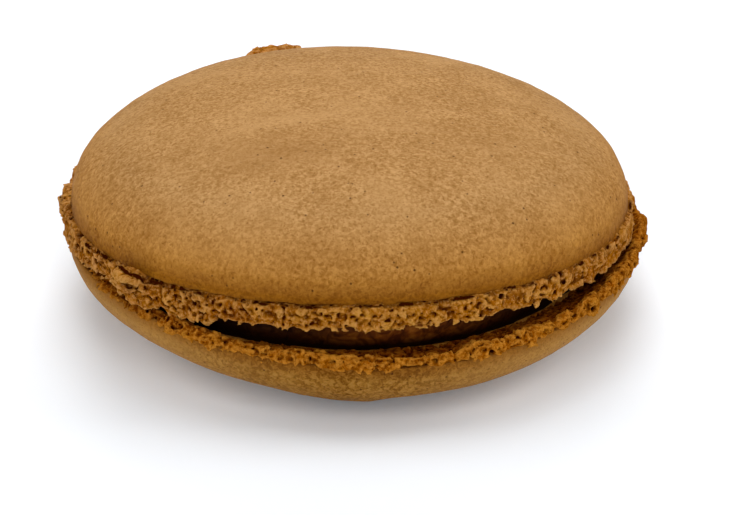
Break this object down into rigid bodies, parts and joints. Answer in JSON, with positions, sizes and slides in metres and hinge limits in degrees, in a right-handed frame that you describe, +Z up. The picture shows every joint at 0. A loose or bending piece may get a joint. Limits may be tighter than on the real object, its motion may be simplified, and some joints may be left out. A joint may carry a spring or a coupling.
{
  "type": "french macaron",
  "caption": "French macaron: smooth domed almond meringue shells with crumbly ruffled feet, gaping at the front over a dark chocolate ganache filling.",
  "frame": {"origin": "middle of the flat spot that the macaron rests on, under the bottom shell", "axes": "+Z up through both domes, -Y towards the front, where the macaron gapes and the filling shows, +X to the right seen from the front"},
  "size_m": [0.0473, 0.0475, 0.0178],
  "materials": {
    "shell_top": "baked caramel-tan almond meringue, matte, fine grained skin with a crumbly, pitted golden-brown foot",
    "filling": "dark chocolate ganache, smooth, softly satin",
    "shell_bottom": "baked caramel-tan almond meringue, matte, fine grained skin with a crumbly, pitted orange-brown foot"
  },
  "bodies": {
    "root": {"shell_top": "shell_top", "filling": "filling", "shell_bottom": "shell_bottom"}
  },
  "joints": []
}
